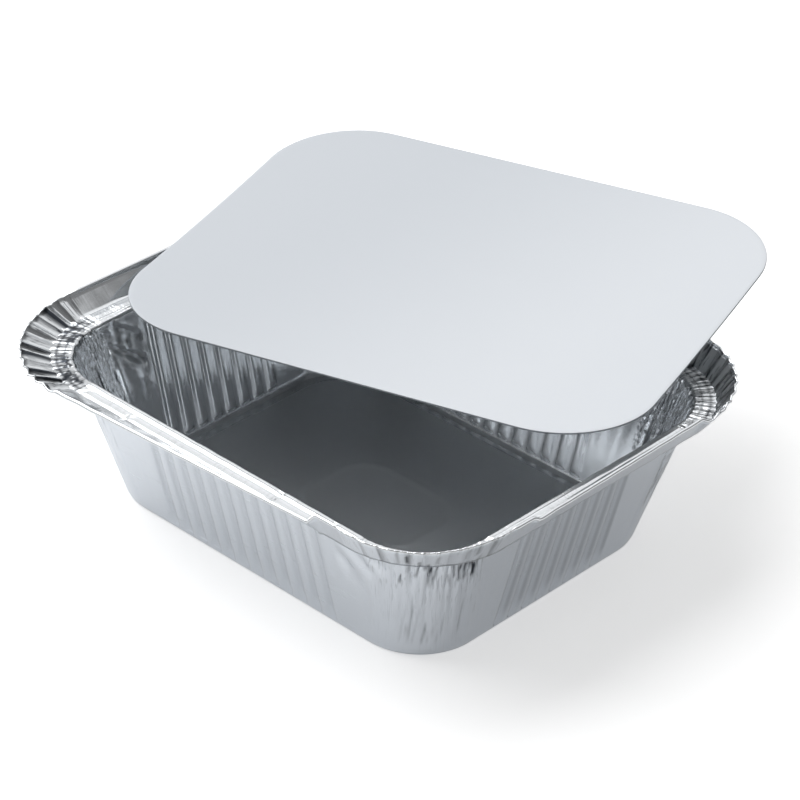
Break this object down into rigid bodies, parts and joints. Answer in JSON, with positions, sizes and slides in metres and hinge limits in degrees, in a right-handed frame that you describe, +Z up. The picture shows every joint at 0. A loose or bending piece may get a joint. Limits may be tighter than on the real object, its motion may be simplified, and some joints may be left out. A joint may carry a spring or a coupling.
{
  "type": "foil food container",
  "caption": "Shallow pressed-foil food tray with ribbed slanting walls, rounded corners and a pleated upturned rim, with a separate flat board lid lying across it.",
  "frame": {"origin": "middle of the tray's flat underside", "axes": "+Z up, +X along the tray's long side; one long wall faces -Y, and the loose lid lies over the +Y side"},
  "size_m": [0.1681, 0.175, 0.0508],
  "materials": {
    "foil": "bright rolled foil",
    "lid_board": "matt silver-white foil laminate"
  },
  "bodies": {
    "root": {"tray": "foil", "lid": "lid_board"}
  },
  "joints": []
}
